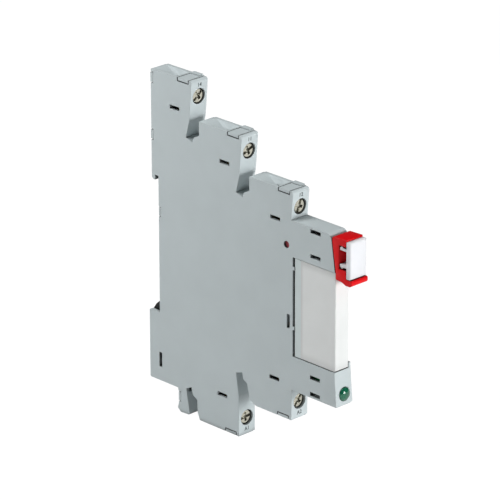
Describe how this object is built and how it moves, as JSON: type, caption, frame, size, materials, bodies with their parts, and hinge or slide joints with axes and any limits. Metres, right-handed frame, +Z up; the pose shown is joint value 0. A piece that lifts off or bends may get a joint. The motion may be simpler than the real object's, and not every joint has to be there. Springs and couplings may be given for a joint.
{
  "type": "interface relay",
  "caption": "Slim rail-mounted relay socket with screw terminals, a plug-in relay, an ejector lever with a marking tag, and a lamp.",
  "frame": {"origin": "centre of the rail seat: on the plane where the rail's face bears, at the rail's centre line, mid width", "axes": "+X out of the seat to the front with the lever and lamp, +Y across the width to the cover side, +Z up along the housing"},
  "size_m": [0.0773, 0.0062, 0.0979],
  "materials": {
    "housing_plastic": "fine moulded texture",
    "relay_base_plastic": "moulded",
    "relay_case_plastic": "smooth moulded",
    "lever_red": "smooth moulded",
    "tag_white": "smooth moulded",
    "clip_black": "moulded",
    "plug_red": "moulded",
    "lens_green": "tinted, smooth",
    "lamp_clear": "clear epoxy",
    "board_laminate": "solder resist",
    "chip_black": "moulded",
    "chip_tan": "ceramic",
    "contact_brass": "stamped",
    "winding_copper": "enamelled wire",
    "iron": "nickel plated",
    "screw_steel": "nickel plated",
    "spring_steel": "drawn wire"
  },
  "bodies": {
    "housing": {"housing_shell": "housing_plastic", "housing_cover": "housing_plastic", "lamp_lens": "lens_green", "marking_plug": "plug_red", "rail_clip_spring": "spring_steel", "busbar_14": "contact_brass", "busbar_11": "contact_brass", "busbar_12": "contact_brass", "busbar_a1": "contact_brass", "busbar_a2": "contact_brass", "circuit_board": "board_laminate", "led": "lamp_clear", "rectifier_diodes": "chip_black", "board_resistors": "chip_black", "board_capacitor": "chip_tan"},
    "relay": {"relay_base": "relay_base_plastic", "relay_case": "relay_case_plastic", "relay_coil_pins": "contact_brass", "relay_common_pin": "contact_brass", "normally_open_contact": "contact_brass", "normally_closed_contact": "contact_brass", "coil_bobbin": "relay_base_plastic", "coil_winding": "winding_copper", "coil_core": "iron", "coil_yoke": "iron"},
    "armature": {"relay_armature": "iron"},
    "card": {"pusher_card": "relay_base_plastic"},
    "blade": {"contact_blade": "contact_brass"},
    "lever": {"eject_lever": "lever_red"},
    "tag": {"marker_tag": "tag_white"},
    "clip": {"rail_clip": "clip_black"},
    "screw_14": {"terminal_screw_14": "screw_steel"},
    "cage_14": {"clamp_cage_14": "screw_steel"},
    "screw_11": {"terminal_screw_11": "screw_steel"},
    "cage_11": {"clamp_cage_11": "screw_steel"},
    "screw_12": {"terminal_screw_12": "screw_steel"},
    "cage_12": {"clamp_cage_12": "screw_steel"},
    "screw_a1": {"terminal_screw_a1": "screw_steel"},
    "cage_a1": {"clamp_cage_a1": "screw_steel"},
    "screw_a2": {"terminal_screw_a2": "screw_steel"},
    "cage_a2": {"clamp_cage_a2": "screw_steel"}
  },
  "joints": [
    {"name": "screw_turn_14", "type": "hinge", "parent": "housing", "child": "screw_14", "pos_m": [0.013, 0, 0.0432], "axis": [-1, 0, 0], "range_deg": [0, 1800]},
    {"name": "cage_draw_14", "type": "slide", "parent": "housing", "child": "cage_14", "axis": [1, 0, 0], "range_m": [0, 0.00225]},
    {"name": "screw_turn_11", "type": "hinge", "parent": "housing", "child": "screw_11", "pos_m": [0.0322, 0, 0.0327], "axis": [-1, 0, 0], "range_deg": [0, 1800]},
    {"name": "cage_draw_11", "type": "slide", "parent": "housing", "child": "cage_11", "axis": [1, 0, 0], "range_m": [0, 0.00225]},
    {"name": "screw_turn_12", "type": "hinge", "parent": "housing", "child": "screw_12", "pos_m": [0.0514, 0, 0.0222], "axis": [-1, 0, 0], "range_deg": [0, 1800]},
    {"name": "cage_draw_12", "type": "slide", "parent": "housing", "child": "cage_12", "axis": [1, 0, 0], "range_m": [0, 0.00225]},
    {"name": "screw_turn_a1", "type": "hinge", "parent": "housing", "child": "screw_a1", "pos_m": [0.031, 0, -0.0448], "axis": [-1, 0, 0], "range_deg": [0, 1800]},
    {"name": "cage_draw_a1", "type": "slide", "parent": "housing", "child": "cage_a1", "axis": [1, 0, 0], "range_m": [0, 0.00225]},
    {"name": "screw_turn_a2", "type": "hinge", "parent": "housing", "child": "screw_a2", "pos_m": [0.0511, 0, -0.0336], "axis": [-1, 0, 0], "range_deg": [0, 1800]},
    {"name": "cage_draw_a2", "type": "slide", "parent": "housing", "child": "cage_a2", "axis": [1, 0, 0], "range_m": [0, 0.00225]},
    {"name": "lever_swing", "type": "hinge", "parent": "housing", "child": "lever", "pos_m": [0.0636, 0, 0.0167], "axis": [0, -1, 0], "range_deg": [0, 25]},
    {"name": "relay_slide", "type": "slide", "parent": "housing", "child": "relay", "axis": [1, 0, 0], "range_m": [0, 0.0038]},
    {"name": "tag_pull", "type": "slide", "parent": "lever", "child": "tag", "axis": [1, 0, 0], "range_m": [0, 0.0026]},
    {"name": "armature_swing", "type": "hinge", "parent": "relay", "child": "armature", "pos_m": [0.06535, -0.00035, -0.0037], "axis": [0, -1, 0], "range_deg": [0, 4], "stiffness_Nm_per_rad": 0.0005, "springref_deg": -5.73},
    {"name": "card_slide", "type": "slide", "parent": "relay", "child": "card", "axis": [0, 0, -1], "range_m": [0, 0.00041]},
    {"name": "blade_bend", "type": "hinge", "parent": "relay", "child": "blade", "pos_m": [0.05527, -0.00035, 0.00014], "axis": [0, 1, 0], "range_deg": [0, 5.5]},
    {"name": "clip_slide", "type": "slide", "parent": "housing", "child": "clip", "axis": [0, 0, -1], "range_m": [0, 0.0025], "stiffness_N_per_m": 40, "springref_m": -0.002, "deforming": ["rail_clip_spring"]}
  ],
  "couplings": [
    {"joint": "screw_turn_14", "follows": "cage_draw_14", "rad_per_m": 13963},
    {"joint": "screw_turn_11", "follows": "cage_draw_11", "rad_per_m": 13963},
    {"joint": "screw_turn_12", "follows": "cage_draw_12", "rad_per_m": 13963},
    {"joint": "screw_turn_a1", "follows": "cage_draw_a1", "rad_per_m": 13963},
    {"joint": "screw_turn_a2", "follows": "cage_draw_a2", "rad_per_m": 13963},
    {"joint": "lever_swing", "follows": "relay_slide", "rad_per_m": 114.8},
    {"joint": "card_slide", "follows": "armature_swing", "m_per_rad": 0.0058},
    {"joint": "blade_bend", "follows": "armature_swing", "ratio": 1.355}
  ]
}
